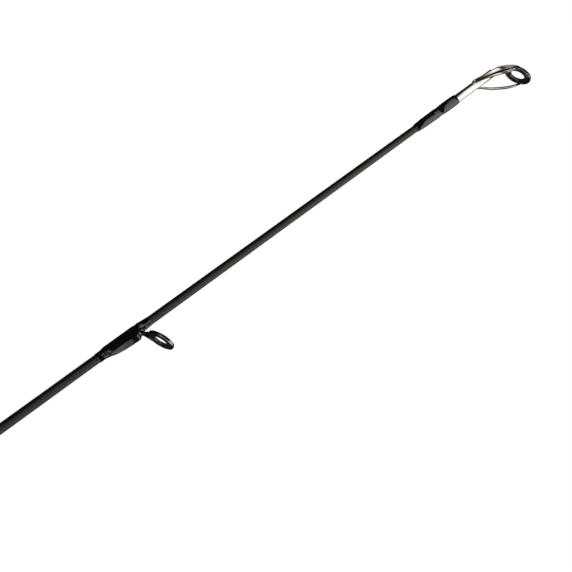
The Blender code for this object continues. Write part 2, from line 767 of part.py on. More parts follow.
def main():
    for obj in list(bpy.data.objects):
        bpy.data.objects.remove(obj, do_unlink=True)

    butt_blank()
    handle()
    reel_seat()
    fixed_hood()
    arbors()
    tip_pieces = [tip_blank()]
    tip_pieces.append(ferrule_wrap())
    tip_pieces += tip_top()
    for name, back, hole, ceramic, frame, height, tilt, double in GUIDES:
        z = TIP_RING_Z - back
        on_tip = z > SOCKET_START
        build = double_foot_guide if double else single_foot_guide
        pieces = build(name, z, hole, ceramic, frame, height, tilt, SOCKET_START if on_tip else 0.0)
        if on_tip:
            tip_pieces += pieces
    tip_empty = carrier("tip_section_slide", SOCKET_START)
    attach(tip_pieces, tip_empty, SOCKET_START)

    hood_empty = carrier("hood_slide_axis", SLIDING_HOOD_START)
    attach([sliding_hood(), hood_band()], hood_empty, SLIDING_HOOD_START)
    nut_empty = carrier("nut_turn_axis", NUT_START, hood_empty)
    attach([locking_nut(), nut_trim()], nut_empty, NUT_START)


main()
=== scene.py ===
"""Looks for the spinning rod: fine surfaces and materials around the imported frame, on a plain studio stage.

Shapes are worked out in millimetres and add_piece() writes them in metres.
The rod's axis is Z, the guides stand on the +X side, and the hook keeper is on the -Y side.
"""

import json
import math

import bmesh
import bpy
from mathutils import Matrix, Vector


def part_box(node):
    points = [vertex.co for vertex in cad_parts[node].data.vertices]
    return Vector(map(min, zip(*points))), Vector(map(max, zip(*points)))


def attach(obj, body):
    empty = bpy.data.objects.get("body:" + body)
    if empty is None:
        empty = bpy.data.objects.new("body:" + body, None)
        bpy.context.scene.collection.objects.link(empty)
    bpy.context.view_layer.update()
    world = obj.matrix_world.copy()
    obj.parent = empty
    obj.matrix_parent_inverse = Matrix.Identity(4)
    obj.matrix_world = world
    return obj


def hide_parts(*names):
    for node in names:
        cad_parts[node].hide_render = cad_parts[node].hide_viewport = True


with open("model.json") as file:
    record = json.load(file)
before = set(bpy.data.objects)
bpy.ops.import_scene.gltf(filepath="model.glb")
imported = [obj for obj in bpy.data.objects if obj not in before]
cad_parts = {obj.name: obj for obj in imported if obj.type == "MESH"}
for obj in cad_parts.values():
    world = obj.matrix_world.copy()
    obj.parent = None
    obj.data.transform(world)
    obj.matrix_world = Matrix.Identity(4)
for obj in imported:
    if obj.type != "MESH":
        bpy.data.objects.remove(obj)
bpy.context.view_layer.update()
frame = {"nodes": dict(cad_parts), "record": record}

MM = 0.001
MERGE_DISTANCE = 2e-7  # in metres: far under any real edge, so it only closes a boolean's slivers
TURN = 2 * math.pi
FINE_SIDES = 96
ROD_SIDES = 64
GAP = 0.04  # between pieces that touch
SHARP_ANGLE = 38.0  # in degrees: steeper edges stay sharp, apart from the soft shapes listed next
SOFT_ANGLES = {"thread_epoxy": 60.0, "eva_foam": 50.0}

# Blank: radius at the tip and at the butt, and how fast each section thickens
TIP_RADIUS = 0.845
TIP_SLOPE = 0.0028
BUTT_RADIUS = 5.5
BUTT_SLOPE = 0.0024
SOCKET_RADIUS = 4.15

# Guides: share of the ring's radius that is hole, tilt in degrees, and whether it stands on two feet
GUIDES = {
    "guide_1": (0.531, 28.0, False),
    "guide_2": (0.563, 28.0, False),
    "guide_3": (0.630, 28.0, False),
    "guide_4": (0.696, 26.0, False),
    "guide_5": (0.742, 22.0, True),
    "guide_6": (0.783, 18.0, True),
}
# Single-foot guides grow from the first one: its height and radius, its heel's distance behind the ring, and
# its foot's length. Each foot is level, at the blank's radius CORE_BEHIND the ring.
FIRST_HEIGHT, FIRST_RADIUS = 6.7, 3.65
FIRST_HEEL, FIRST_FOOT = 2.9, 9.2
CORE_BEHIND = 16.0

# Double-foot guides: the heels' distances from the ring as shares of its height, the feet's length,
# and how far round the ring its two back legs meet it, in degrees
FRONT_HEEL_SHARE, BACK_HEEL_SHARE = 0.30, 0.62
DOUBLE_FOOT = 12.0
BRACE_ANGLE = 112.0

TIP_RING_TILT = 33.0
TIP_HOLE_SHARE = 0.593
TIP_FRAME_RADIUS = 3.45
SEAT_REACH = 2.2  # how far the plug that clears a ring's seat stands out on each side

# Wraps over the guides' feet: thickness of the coat, and length of the epoxy nose in front of the heel
SINGLE_COVER, SINGLE_NOSE = 0.34, 4.2
DOUBLE_COVER, DOUBLE_NOSE = 0.45, 5.0

# View, in degrees and millimetres: turned about the rod's axis, tipped towards the butt, and rolled so that
# the rod rises to the right. The middle of the picture is back along the rod from the tip and aside of it.
VIEW_TURN = 40.0
VIEW_TILT = 3.6
VIEW_ROLL = 35.97
VIEW_DISTANCE = 525.0
VIEW_WIDTH = 144.28
VIEW_BACK = 73.89
VIEW_ASIDE = 12.92

# What polished pieces mirror. Each table goes round the compass by degrees about the rod, from +X towards +Y:
# a soft panel's light and the heights of its lower and upper edge, then the light of the table below it,
# and then the light of the floor. A height is the Z of the direction looked in, from -1 to 1.
PANEL_LIGHT = 2.0
PANEL_ACROSS = [
    (-141, 0.0), (-113, 0.05), (-100, 0.5), (-85, 1.1), (-50, 1.5), (-20, 1.75),
    (10, 2.0), (40, 2.0), (58, 1.3), (74, 0.2), (90, 0.0),
]
PANEL_LOW = [(-110, 0.18), (-85, 0.172), (-60, 0.15), (-27, 0.07), (0, 0.04), (90, 0.04)]
PANEL_HIGH = [
    (-110, 0.20), (-95, 0.26), (-77, 0.38), (-50, 0.44), (-20, 0.46), (20, 0.74), (50, 0.74), (75, 0.56),
]
TABLE_ACROSS = [
    (-72, 0.0), (-62, 1.7), (-52, 1.7), (-45, 0.3), (-22, 0.25), (0, 0.9), (30, 1.4), (48, 1.1), (60, 0.0),
]
FLOOR_ACROSS = [(-75, 0.0), (-62, 1.4), (-26, 1.4), (-14, 0.4), (0, 0.1), (25, 0.0)]


def span(node):
    """The lowest and the highest corner of a CAD node, in millimetres."""
    low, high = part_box(node)
    return low / MM, high / MM


# ---------------------------------------------------------------- node trees


def rgba(colour):
    return (*colour, 1.0)


class Nodes:
    """A short way to write a node tree. A value may be a number, a colour or another node's socket."""

    def __init__(self, tree):
        self.tree = tree

    def add(self, kind, **settings):
        node = self.tree.nodes.new(kind)
        for key, value in settings.items():
            setattr(node, key, value)
        return node

    def feed(self, socket, value):
        if isinstance(value, bpy.types.NodeSocket):
            self.tree.links.new(value, socket)
        elif value is not None:
            socket.default_value = value

    def math(self, operation, a, b=None):
        node = self.add("ShaderNodeMath", operation=operation)
        self.feed(node.inputs[0], a)
        self.feed(node.inputs[1], b)
        return node.outputs[0]

    def split(self, vector):
        node = self.add("ShaderNodeSeparateXYZ")
        self.feed(node.inputs[0], vector)
        return node.outputs

    def stretch(self, vector, scale):
        node = self.add("ShaderNodeMapping")
        self.feed(node.inputs["Vector"], vector)
        self.feed(node.inputs["Scale"], scale)
        return node.outputs[0]

    def noise(self, place, scale, detail):
        """Smooth noise. scale is a number of grains for each unit of length, along x, y and z."""
        node = self.add("ShaderNodeTexNoise")
        self.feed(node.inputs["Vector"], self.stretch(place, scale))
        self.feed(node.inputs["Scale"], 1.0)
        self.feed(node.inputs["Detail"], detail)
        return node.outputs[0]

    def cells(self, vector, scale):
        node = self.add("ShaderNodeTexVoronoi")
        self.feed(node.inputs["Vector"], vector)
        self.feed(node.inputs["Scale"], scale)
        return node.outputs["Distance"]

    def fit(self, value, low, high, to_low, to_high, smooth=False):
        kind = "SMOOTHSTEP" if smooth else "LINEAR"
        node = self.add("ShaderNodeMapRange", interpolation_type=kind)
        for socket, number in zip(node.inputs, (value, low, high, to_low, to_high)):
            self.feed(socket, number)
        return node.outputs[0]

    def mix(self, factor, a, b):
        """A blend of two plain colours."""
        node = self.add("ShaderNodeMix", data_type="RGBA")
        self.feed(node.inputs[0], factor)
        self.feed(node.inputs[6], rgba(a))
        self.feed(node.inputs[7], rgba(b))
        return node.outputs[2]

    def ramp(self, value, stops):
        node = self.add("ShaderNodeValToRGB")
        self.feed(node.inputs[0], value)
        elements = node.color_ramp.elements
        while len(elements) < len(stops):
            elements.new(0.5)
        for element, (place, colour) in zip(elements, stops):
            element.position = place
            element.color = rgba(colour)
        return node.outputs[0]

    def bump(self, height, depth_mm, normal=None):
        node = self.add("ShaderNodeBump")
        self.feed(node.inputs["Height"], height)
        self.feed(node.inputs["Distance"], depth_mm * MM)
        self.feed(node.inputs["Normal"], normal)
        return node.outputs[0]


def new_material(name, colour, roughness, metallic=0.0):
    """A Principled material. Returns it with its nodes, a way to feed it, and a place in millimetres."""
    material = bpy.data.materials.new(name)
    material.use_nodes = True
    nodes = Nodes(material.node_tree)
    shader = material.node_tree.nodes["Principled BSDF"]

    def feed(name, value):
        nodes.feed(shader.inputs[name], value)

    feed("Base Color", rgba(colour))
    feed("Roughness", roughness)
    feed("Metallic", metallic)
    place = nodes.add("ShaderNodeTexCoord").outputs["Object"]
    return material, nodes, feed, nodes.stretch(place, (1 / MM,) * 3)


# ---------------------------------------------------------------- materials


def blank_material():
    """Matte sanded carbon: tape ridges that wind round the blank, fine grain, and a little unevenness."""
    material, nodes, feed, place = new_material("carbon_blank", (0.020, 0.0185, 0.0175), 0.4)
    x, y, z = nodes.split(place)
    angle = nodes.math("DIVIDE", nodes.math("ARCTAN2", y, x), TURN)
    tape_pitch = 1.0
    wave = nodes.math("FRACT", nodes.math("ADD", nodes.math("DIVIDE", z, tape_pitch), angle))
    ridge = nodes.math("ABSOLUTE", nodes.math("SUBTRACT", wave, 0.5))
    grain = nodes.noise(place, (6.0, 6.0, 1.6), 3.0)
    cloud = nodes.noise(place, (0.6, 0.6, 0.12), 3.0)
    colour = nodes.mix(cloud, (0.0020, 0.0018, 0.0017), (0.0055, 0.0050, 0.0046))
    feed("Base Color", colour)
    feed("Roughness", nodes.fit(cloud, 0.3, 0.7, 0.30, 0.38))
    feed("Specular IOR Level", 0.62)
    feed("Specular Tint", rgba((1.0, 0.95, 0.90)))
    feed("Normal", nodes.bump(grain, 0.008, nodes.bump(ridge, 0.020)))
    return material


def thread_material():
    """Black winding thread under a thick glossy coat, which stays smooth over the thread."""
    material, nodes, feed, place = new_material("thread_epoxy", (0.002, 0.002, 0.0022), 0.5)
    z = nodes.split(place)[2]
    thread_pitch = 0.25
    winding = nodes.math("SINE", nodes.math("MULTIPLY", z, TURN / thread_pitch))
    fibre = nodes.noise(place, (3.0, 3.0, 9.0), 3.0)
    colour = nodes.mix(fibre, (0.0010, 0.0010, 0.0011), (0.0030, 0.0030, 0.0034))
    feed("Base Color", colour)
    feed("Normal", nodes.bump(winding, 0.02, nodes.bump(fibre, 0.02)))
    feed("Specular IOR Level", 0.02)
    feed("Coat Weight", 1.0)
    feed("Coat Roughness", 0.045)
    feed("Coat IOR", 1.62)
    level = nodes.noise(place, (0.5, 0.5, 0.35), 1.0)
    feed("Coat Normal", nodes.bump(level, 0.05))
    return material


def steel_material():
    """Polished stainless steel with faint drawing lines and a slightly warm tone."""
    material, nodes, feed, place = new_material("polished_steel", (0.70, 0.67, 0.63), 0.1, 1.0)
    lines = nodes.noise(place, (9.0, 9.0, 0.8), 3.0)
    cloud = nodes.noise(place, (0.7, 0.7, 0.7), 2.0)
    feed("Roughness", nodes.fit(cloud, 0.3, 0.7, 0.06, 0.15))
    feed("Normal", nodes.bump(lines, 0.0015))
    return material


def shade_darkened_steel_material():
    """Polished steel with its colour darkened as painted shade, standing for the dark surroundings that the
    guide frames and the tip-top's ring holder mirror.
    """
    material, nodes, feed, place = new_material("shade_darkened_steel", (0.17, 0.16, 0.15), 0.1, 1.0)
    cloud = nodes.noise(place, (0.7, 0.7, 0.7), 2.0)
    colour = nodes.mix(cloud, (0.20, 0.19, 0.18), (0.30, 0.29, 0.275))
    feed("Base Color", colour)
    feed("Roughness", nodes.fit(cloud, 0.3, 0.7, 0.08, 0.18))
    return material


def ceramic_material():
    """Polished black ceramic, with the soft clouding of a ground and lapped surface."""
    material, nodes, feed, place = new_material("black_ceramic", (0.009, 0.009, 0.010), 0.1)
    cloud = nodes.noise(place, (1.4, 1.4, 1.4), 3.0)
    feed("Roughness", nodes.fit(cloud, 0.3, 0.7, 0.05, 0.16))
    feed("IOR", 1.8)
    feed("Normal", nodes.bump(cloud, 0.01))
    return material


def foam_material():
    """Closed-cell foam: packed small cells, a dusty sheen, and slightly uneven black."""
    material, nodes, feed, place = new_material("eva_foam", (0.02, 0.02, 0.021), 0.9)
    cells = nodes.cells(place, 1.6)
    pores = nodes.cells(place, 4.5)
    cloud = nodes.noise(place, (0.12, 0.12, 0.05), 4.0)
    colour = nodes.mix(cloud, (0.013, 0.013, 0.0135), (0.032, 0.032, 0.033))
    feed("Base Color", colour)
    feed("Roughness", nodes.fit(pores, 0.0, 0.6, 0.98, 0.78))
    feed("Sheen Weight", 0.25)
    feed("Sheen Roughness", 0.5)
    feed("Normal", nodes.bump(pores, 0.05, nodes.bump(cells, 0.10)))
    return material


def rubber_material():
    """Moulded rubber with a fine matte grain, scuffed paler where it stands on the ground."""
    material, nodes, feed, place = new_material("cap_rubber", (0.014, 0.014, 0.014), 0.7)
    grain = nodes.noise(place, (3.5, 3.5, 3.5), 4.0)
    z = nodes.split(place)[2]
    scuff = nodes.math("MULTIPLY", nodes.fit(z, 0.0, 2.5, 1.0, 0.0), nodes.fit(grain, 0.45, 0.65, 0.0, 1.0))
    colour = nodes.mix(scuff, (0.014, 0.014, 0.014), (0.055, 0.053, 0.050))
    feed("Base Color", colour)
    feed("Roughness", nodes.fit(grain, 0.3, 0.7, 0.6, 0.85))
    feed("Normal", nodes.bump(grain, 0.04))
    return material


def seat_material():
    """Satin moulded plastic with a spark-eroded grain that is rubbed smooth in patches."""
    material, nodes, feed, place = new_material("seat_plastic", (0.016, 0.016, 0.017), 0.4)
    grain = nodes.noise(place, (5.0, 5.0, 5.0), 3.0)
    wear = nodes.noise(place, (0.15, 0.15, 0.08), 3.0)
    feed("Roughness", nodes.fit(wear, 0.35, 0.65, 0.28, 0.46))
    feed("Normal", nodes.bump(grain, 0.02))
    return material


def trim_material():
    """Gunmetal anodised aluminium with the fine rings that turning leaves."""
    material, nodes, feed, place = new_material("gunmetal_trim", (0.20, 0.21, 0.23), 0.25, 1.0)
    x, y, z = nodes.split(place)
    radius = nodes.math("SQRT", nodes.math("ADD", nodes.math("MULTIPLY", x, x), nodes.math("MULTIPLY", y, y)))
    cut_pitch = 0.09
    rings = nodes.math("SINE", nodes.math("MULTIPLY", nodes.math("ADD", radius, z), TURN / cut_pitch))
    cloud = nodes.noise(place, (0.8, 0.8, 0.8), 2.0)
    feed("Roughness", nodes.fit(cloud, 0.3, 0.7, 0.2, 0.3))
    feed("Normal", nodes.bump(rings, 0.003))
    return material


def arbor_material():
    """Pale rigid foam, which shows only inside the reel seat."""
    material, nodes, feed, place = new_material("arbor_foam", (0.45, 0.42, 0.36), 0.85)
    cells = nodes.cells(place, 2.5)
    colour = nodes.mix(cells, (0.32, 0.29, 0.24), (0.52, 0.49, 0.43))
    feed("Base Color", colour)
    feed("Normal", nodes.bump(cells, 0.08))
    return material


LOOKS = {
    "blank_graphite": blank_material(),
    "thread_epoxy": thread_material(),
    "stainless": steel_material(),
    # Painted shade: the polished steel again, darkened in colour
    "shade_darkened_steel": shade_darkened_steel_material(),
    "ring_ceramic": ceramic_material(),
    "eva_foam": foam_material(),
    "cap_rubber": rubber_material(),
    "seat_plastic": seat_material(),
    "trim_metal": trim_material(),
    "arbor_foam": arbor_material(),
}


# ---------------------------------------------------------------- outlines and meshes


def rounded(outline, steps=4):
    """Rounds the corners of a closed outline of (a, b, corner size)."""
    points = []
    for i, (a, b, size) in enumerate(outline):
        corner = Vector((a, b))
        if size == 0:
            points.append(corner)
            continue
        before = Vector(outline[i - 1][:2]) - corner
        after = Vector(outline[(i + 1) % len(outline)][:2]) - corner
        reach = min(size, 0.49 * before.length, 0.49 * after.length)
        start = corner + before.normalized() * reach
        end = corner + after.normalized() * reach
        for k in range(steps + 1):
            t = k / steps
            points.append(start * (1 - t) ** 2 + corner * 2 * t * (1 - t) + end * t * t)
    return points


def spline(points, steps=6):
    """A smooth curve through points of any dimension."""
    result = []
    last = len(points) - 1
    for i in range(last):
        p0, p1 = points[max(i - 1, 0)], points[i]
        p2, p3 = points[i + 1], points[min(i + 2, last)]
        for k in range(steps):
            t = k / steps
            weights = (
                -0.5 * t + t * t - 0.5 * t**3,
                1 - 2.5 * t * t + 1.5 * t**3,
                0.5 * t + 2 * t * t - 1.5 * t**3,
                -0.5 * t * t + 0.5 * t**3,
            )
            result.append(tuple(sum(w * v for w, v in zip(weights, vs)) for vs in zip(p0, p1, p2, p3)))
    result.append(tuple(points[last]))
    return result


def loft(rings, closed_along=False):
    """Joins rings of equally many points. The ends are capped, or the last ring meets the first."""
    count = len(rings[0])
    points = [tuple(p) for ring in rings for p in ring]
    faces = []
    for i in range(len(rings) if closed_along else len(rings) - 1):
        a, b = i * count, (i + 1) % len(rings) * count
        for k in range(count):
            n = (k + 1) % count
            faces.append((a + k, a + n, b + n, b + k))
    if not closed_along:
        faces.append(tuple(range(count)))
        faces.append(tuple(reversed(range(len(points) - count, len(points)))))
    return points, faces


def band_outline(inner, outer, low, high, low_corner, high_corner):
    """A flat band's cross-section, with square edges inside and rounded ones outside."""
    corners = [(inner, low, 0), (outer, low, low_corner), (outer, high, high_corner), (inner, high, 0)]
    return rounded(corners)


def circle(radius, z, sides=FINE_SIDES, centre_x=0.0):
    angles = [TURN * k / sides for k in range(sides)]
    return [(centre_x + radius * math.cos(a), radius * math.sin(a), z) for a in angles]


def turned(outline, sides=FINE_SIDES, centre_x=0.0):
    """A closed outline of (radius, z) turned about the rod's axis, or about a line beside it."""
    return loft([circle(radius, z, sides, centre_x) for radius, z in outline], closed_along=True)


def plug(outline, centre_x=0.0):
    """A capped round solid of (radius, z) rings."""
    return loft([circle(radius, z, centre_x=centre_x) for radius, z in outline])


def shaped(outline, radius_at, sides=FINE_SIDES):
    """As turned(), but radius_at(radius, angle, z) may move each point of the outline in or out."""
    rings = []
    for radius, z in outline:
        ring = []
        for k in range(sides):
            angle = TURN * k / sides
            reach = radius_at(radius, angle, z)
            ring.append((reach * math.cos(angle), reach * math.sin(angle), z))
        rings.append(ring)
    return loft(rings, closed_along=True)


def block(low, high):
    corners = [(low[0], low[1]), (high[0], low[1]), (high[0], high[1]), (low[0], high[1])]
    return loft([[(x, y, z) for x, y in corners] for z in (low[2], high[2])])


def strip_section(half_width, half_thick):
    """A flat strip's cross-section with rounded edges."""
    edge = 0.8 * half_thick
    corners = ((-1, -1), (1, -1), (1, 1), (-1, 1))
    return rounded([(u * half_width, v * half_thick, edge) for u, v in corners], 3)


def wire_section(half_width, half_thick):
    angles = [TURN * k / 16 for k in range(16)]
    return [(half_width * math.cos(a), half_thick * math.sin(a)) for a in angles]


def sweep(stations, section=strip_section):
    """A bar along a smooth path through stations of (centre, width direction, half width, half thickness)."""
    path = spline([(*centre, *across, wide, thick) for centre, across, wide, thick in stations])
    centres = [Vector(p[:3]) for p in path]
    rings = []
    for i, p in enumerate(path):
        along = (centres[min(i + 1, len(path) - 1)] - centres[max(i - 1, 0)]).normalized()
        across = Vector(p[3:6])
        across = (across - along * across.dot(along)).normalized()
        normal = along.cross(across)
        rings.append([centres[i] + across * u + normal * v for u, v in section(p[6], p[7])])
    return loft(rings)


def add_object(name, data):
    obj = bpy.data.objects.new(name, data)
    bpy.context.scene.collection.objects.link(obj)
    return obj


def add_solid(name, shape):
    """Makes an object from (points, faces) in millimetres."""
    points, faces = shape
    mesh = bpy.data.meshes.new(name)
    mesh.from_pydata([Vector(p) * MM for p in points], [], faces)
    work = bmesh.new()
    work.from_mesh(mesh)
    bmesh.ops.recalc_face_normals(work, faces=work.faces)
    work.to_mesh(mesh)
    work.free()
    return add_object(name, mesh)


def combine(obj, shape, operation):
    """Joins another solid to obj, or cuts it away, and keeps the result as plain mesh without slivers."""
    other = add_solid(obj.name + "_tool", shape)
    modifier = obj.modifiers.new("combine", "BOOLEAN")
    modifier.operation = operation
    modifier.solver = "EXACT"
    modifier.object = other
    evaluated = obj.evaluated_get(bpy.context.evaluated_depsgraph_get())
    mesh = bpy.data.meshes.new_from_object(evaluated)
    work = bmesh.new()
    work.from_mesh(mesh)
    bmesh.ops.remove_doubles(work, verts=work.verts, dist=MERGE_DISTANCE)
    bmesh.ops.dissolve_degenerate(work, edges=work.edges, dist=MERGE_DISTANCE)
    work.to_mesh(mesh)
    work.free()
    obj.modifiers.clear()
    obj.data = mesh
    bpy.data.objects.remove(other, do_unlink=True)


def dress(obj, node, slot, look=None):
    """Gives a finished shape its slot's look, or the one named, and lets it stand for its CAD node."""
    obj.data.materials.clear()
    obj.data.materials.append(LOOKS[look or slot])
    obj.data.shade_smooth()
    obj.data.set_sharp_from_angle(angle=math.radians(SOFT_ANGLES.get(slot, SHARP_ANGLE)))
    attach(obj, BODY_OF[node])
    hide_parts(node)


def add_piece(node, slot, shape):
    dress(add_solid(node + "_shape", shape), node, slot)


BODY_OF = {
    node: body
    for body, nodes in frame["record"]["behaviour"]["bodies"].items()
    for node in nodes
}


# ---------------------------------------------------------------- blank


BLANK_START, SPIGOT_END = (corner.z for corner in span("butt_blank"))
SOCKET_START, BLANK_END = (corner.z for corner in span("tip_blank"))


def butt_radius(z):
    return BUTT_RADIUS - BUTT_SLOPE * z


def tip_radius(z):
    return TIP_RADIUS + TIP_SLOPE * (BLANK_END - z)


def blank_radius(z):
    return butt_radius(z) if z < SOCKET_START else tip_radius(z)


def levels(start, end, step):
    """Evenly spaced stations from start to end."""
    count = max(1, round((end - start) / step))
    return [start + (end - start) * k / count for k in range(count + 1)]


def add_blanks():
    wall = 1.1
    outside = [(butt_radius(z), z) for z in levels(BLANK_START, SPIGOT_END - 0.6, 20.0)]
    outside.append((butt_radius(SPIGOT_END) - 0.35, SPIGOT_END))
    inside = [(butt_radius(z) - wall, z) for z in (SPIGOT_END, BLANK_START)]
    add_piece("butt_blank", "blank_graphite", turned(outside + inside, ROD_SIDES))

    mouth = [(SOCKET_RADIUS - 0.2, SOCKET_START), (SOCKET_RADIUS - 0.05, SOCKET_START + 0.25)]
    mouth.append((SOCKET_RADIUS, SOCKET_START + 1.0))
    neck_start, neck_end = 990.0, 1025.0
    neck = [(SOCKET_RADIUS - 0.05, neck_start), (3.6, neck_start + 15.0), (tip_radius(neck_end), neck_end)]
    taper = [(tip_radius(z), z) for z in levels(neck_end + 10.0, BLANK_END - 0.1, 10.0)]
    end = [(TIP_RADIUS - 0.1, BLANK_END)]
    inside = [(0.40, BLANK_END), (0.50, 1600.0), (2.4, SPIGOT_END + 6.0)]
    inside.append((butt_radius(SPIGOT_END) + GAP, SPIGOT_END + 2.0))
    inside.append((butt_radius(SOCKET_START) + GAP, SOCKET_START))
    add_piece("tip_blank", "blank_graphite", turned(mouth + spline(neck) + taper + end + inside, ROD_SIDES))


# ---------------------------------------------------------------- guides


class Ring:
    """A tilted ring: its centre, the way across it in the rod's plane, and its axis towards the butt."""

    def __init__(self, node, tilt):
        slope = math.radians(tilt)
        low, high = span(node)
        self.centre = (low + high) / 2
        self.radius = (high.y - low.y) / 2
        self.across = Vector((math.cos(slope), 0, math.sin(slope)))
        self.side = Vector((0, 1, 0))
        self.axis = Vector((math.sin(slope), 0, -math.cos(slope)))

    def point(self, radius, angle, offset):
        radial = self.across * math.cos(angle) + self.side * math.sin(angle)
        return self.centre + radial * radius + self.axis * offset

    def circle(self, radius, offset):
        return [self.point(radius, TURN * k / FINE_SIDES, offset) for k in range(FINE_SIDES)]

    def turned(self, outline):
        """A closed outline of (radius, offset along the axis) turned about the ring's axis."""
        return loft([self.circle(radius, offset) for radius, offset in outline], closed_along=True)

    def seat(self):
        """The round space that the insert needs, as a solid plug."""
        reach = self.radius + 0.5 * GAP
        return loft([self.circle(reach, offset) for offset in (-SEAT_REACH, SEAT_REACH)])


def add_insert(node, ring, hole_share):
    """The ceramic ring: a full round bore, and flatter where it sits in its holder."""
    hole = ring.radius * hole_share
    half = (ring.radius - hole) / 2
    depth = 0.2 * half + 0.35
    outline, sides = [], 24
    for k in range(sides):
        a = TURN * k / sides
        flat = 1.0 if math.cos(a) < 0 else 0.75
        height = math.copysign(abs(math.sin(a)) ** flat, math.sin(a))
        outline.append((hole + half + half * math.cos(a), depth * height))
    add_piece(node, "ring_ceramic", ring.turned(outline))


def holder_shape(ring, frame_radius):
    """The stamped band round the insert, with rolled edges."""
    half = 0.1 * frame_radius + 0.05
    inside = ring.radius + GAP
    edge = 0.6 * (frame_radius - inside)
    outline = [(inside, -half, 0.1), (frame_radius, -half, edge)]
    outline += [(frame_radius, half, edge), (inside, half, 0.1)]
    return ring.turned(rounded(outline))


def foot_stations(core, heel, toe, half_width, thick):
    """A foot on the blank, from its thin ground toe to its heel."""
    across = (0, 1, 0)
    under = core + GAP
    return [
        ((under + 0.08, 0, toe), across, half_width * 0.35, 0.08),
        ((under + 0.12, 0, toe + (heel - toe) * 0.08), across, half_width * 0.7, 0.12),
        ((under + thick * 0.42, 0, toe + (heel - toe) * 0.6), across, half_width, thick * 0.42),
        ((under + thick * 0.5, 0, heel), across, half_width, thick * 0.5),
    ]


def wrap_ring(z, core, top, half_width, cover):
    """A thread drawn tight round the blank and a foot whose top is at x = top, with an even coat."""
    ring = []
    for k in range(ROD_SIDES):
        angle = TURN * k / ROD_SIDES
        along_x, along_y = math.cos(angle), math.sin(angle)
        to_corner = top * along_x + half_width * abs(along_y)
        if to_corner > core:
            x, y = top, math.copysign(half_width, along_y)
        else:
            x, y = core * along_x, core * along_y
        ring.append((x + cover * along_x, y + cover * along_y, z))
    return ring


def foot_wrap_shape(heel, toe, half_width, thick, cover, nose):
    """Thread and epoxy over one foot, and the epoxy nose that runs on along the blank past the heel."""
    way = 1 if heel > toe else -1
    end = heel - 0.35 * way
    core = blank_radius(toe)
    full = blank_radius(heel) + GAP + thick
    hidden = 0.7 * core
    narrow = 0.3 * half_width
    # Stations: z, height of the foot's top, its half width, and the coat's thickness
    profile = [
        (toe - 3.2 * way, hidden, narrow, 0.02),
        (toe - 2.95 * way, hidden, narrow, 0.30 * cover),
        (toe - 1.8 * way, hidden, narrow, 0.36 * cover),
        (toe - 1.1 * way, hidden, narrow, 0.52 * cover),
        (toe - 0.6 * way, core - 0.3, narrow, 0.93 * cover),
        (toe, core + 0.2 * thick, 0.45 * half_width, cover),
        (toe + 1.5 * way, core + 0.88 * thick, 0.7 * half_width, cover),
        (toe + 3.2 * way, core + 1.20 * thick, 0.85 * half_width, cover),
        (toe + 5.0 * way, core + 1.40 * thick, half_width, cover),
        (toe + 6.8 * way, core + 1.57 * thick, half_width, cover),
        (end - 0.9 * way, core + 1.60 * thick, half_width, cover),
        (end - 0.35 * way, core + 1.5 * thick, half_width, 0.95 * cover),
        (end, full - 0.05, half_width, 0.7 * cover),
        (end + 0.25 * way, full - 0.45 * thick, half_width, 0.6 * cover),
        (end + 0.9 * way, core, 0.8 * half_width, 0.85 * cover),
        (end + 0.5 * nose * way, hidden, narrow, 0.5 * cover),
        (end + nose * way, hidden, narrow, 0.02),
    ]
    rings = []
    for z, top, wide, grow in spline(profile, 6):
        rings.append(wrap_ring(z, blank_radius(z), top, wide, max(grow, 0.02)))
    stations = [profile[-1][0], profile[0][0]]
    inner = [wrap_ring(z, blank_radius(z), 0.0, 0.0, 0.005) for z in stations]
    return loft(rings + inner, closed_along=True)


def add_single_foot_guide(name, hole_share, tilt):
    ring = Ring(name + "_ring", tilt)
    low, high = span(name + "_frame")
    frame_radius = (high.y - low.y) / 2
    z = ring.centre.z
    core = blank_radius(z - CORE_BEHIND)
    thick = 0.45 + 0.035 * frame_radius
    half_width = 0.62 + 0.07 * frame_radius
    heel = z - FIRST_HEEL - 0.35 * (ring.centre.x - FIRST_HEIGHT)
    toe = heel - FIRST_FOOT - 0.5 * (frame_radius - FIRST_RADIUS)
    across = (0, 1, 0)
    rim = ring.point(frame_radius - 0.16, math.pi, 0)
    knee = Vector((core + GAP + thick * 1.1, 0, heel + 0.6 * thick))
    stations = foot_stations(core, heel - 0.5, toe, half_width, thick)
    stations += [
        (knee, across, half_width * 1.15, thick * 0.5),
        (knee.lerp(rim, 0.45), across, half_width * 1.3, thick * 0.55),
        (knee.lerp(rim, 0.8), across, half_width * 1.8, thick * 0.6),
        (rim, across, half_width * 2.4, thick * 0.55),
    ]
    body = add_solid(name + "_frame_shape", holder_shape(ring, frame_radius))
    combine(body, sweep(stations), "UNION")
    combine(body, ring.seat(), "DIFFERENCE")
    # The frame is polished steel; its darker colour is painted shade for the dark surroundings it mirrors
    dress(body, name + "_frame", "stainless", look="shade_darkened_steel")
    add_insert(name + "_ring", ring, hole_share)
    wrap = foot_wrap_shape(heel, toe, half_width, thick, SINGLE_COVER, SINGLE_NOSE)
    add_piece(name + "_wrap", "thread_epoxy", wrap)


